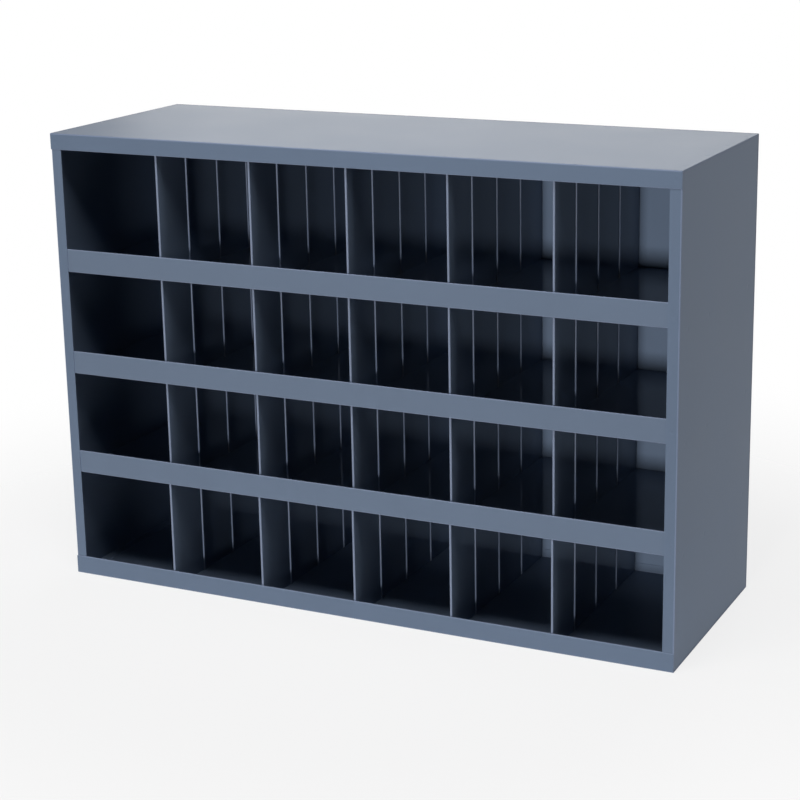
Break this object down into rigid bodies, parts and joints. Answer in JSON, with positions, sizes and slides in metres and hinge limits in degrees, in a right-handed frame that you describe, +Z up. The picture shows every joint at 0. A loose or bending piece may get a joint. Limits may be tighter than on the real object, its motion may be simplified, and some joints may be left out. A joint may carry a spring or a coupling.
{
  "type": "pigeonhole mail sorter",
  "caption": "Open-fronted sheet-steel pigeonhole unit with rows of bins, a raised lip along each row, beaded upright dividers and a closed back.",
  "frame": {"origin": "middle of the base, at floor level", "axes": "+X to the right seen from the front, along the width; +Y from the open front to the closed back; +Z up"},
  "size_m": [0.8572, 0.3048, 0.6064],
  "materials": {
    "panel_enamel": "semi-gloss blue-grey baked enamel",
    "shelf_enamel": "semi-gloss blue-grey baked enamel",
    "divider_enamel": "semi-gloss blue-grey baked enamel"
  },
  "bodies": {
    "root": {"top_panel": "panel_enamel", "bottom_panel": "panel_enamel", "left_side_panel": "panel_enamel", "right_side_panel": "panel_enamel", "back_panel": "panel_enamel", "shelf_1": "shelf_enamel", "shelf_2": "shelf_enamel", "shelf_3": "shelf_enamel", "divider_row_1_1": "divider_enamel", "divider_row_1_2": "divider_enamel", "divider_row_1_3": "divider_enamel", "divider_row_1_4": "divider_enamel", "divider_row_1_5": "divider_enamel", "divider_row_2_1": "divider_enamel", "divider_row_2_2": "divider_enamel", "divider_row_2_3": "divider_enamel", "divider_row_2_4": "divider_enamel", "divider_row_2_5": "divider_enamel", "divider_row_3_1": "divider_enamel", "divider_row_3_2": "divider_enamel", "divider_row_3_3": "divider_enamel", "divider_row_3_4": "divider_enamel", "divider_row_3_5": "divider_enamel", "divider_row_4_1": "divider_enamel", "divider_row_4_2": "divider_enamel", "divider_row_4_3": "divider_enamel", "divider_row_4_4": "divider_enamel", "divider_row_4_5": "divider_enamel"}
  },
  "joints": []
}
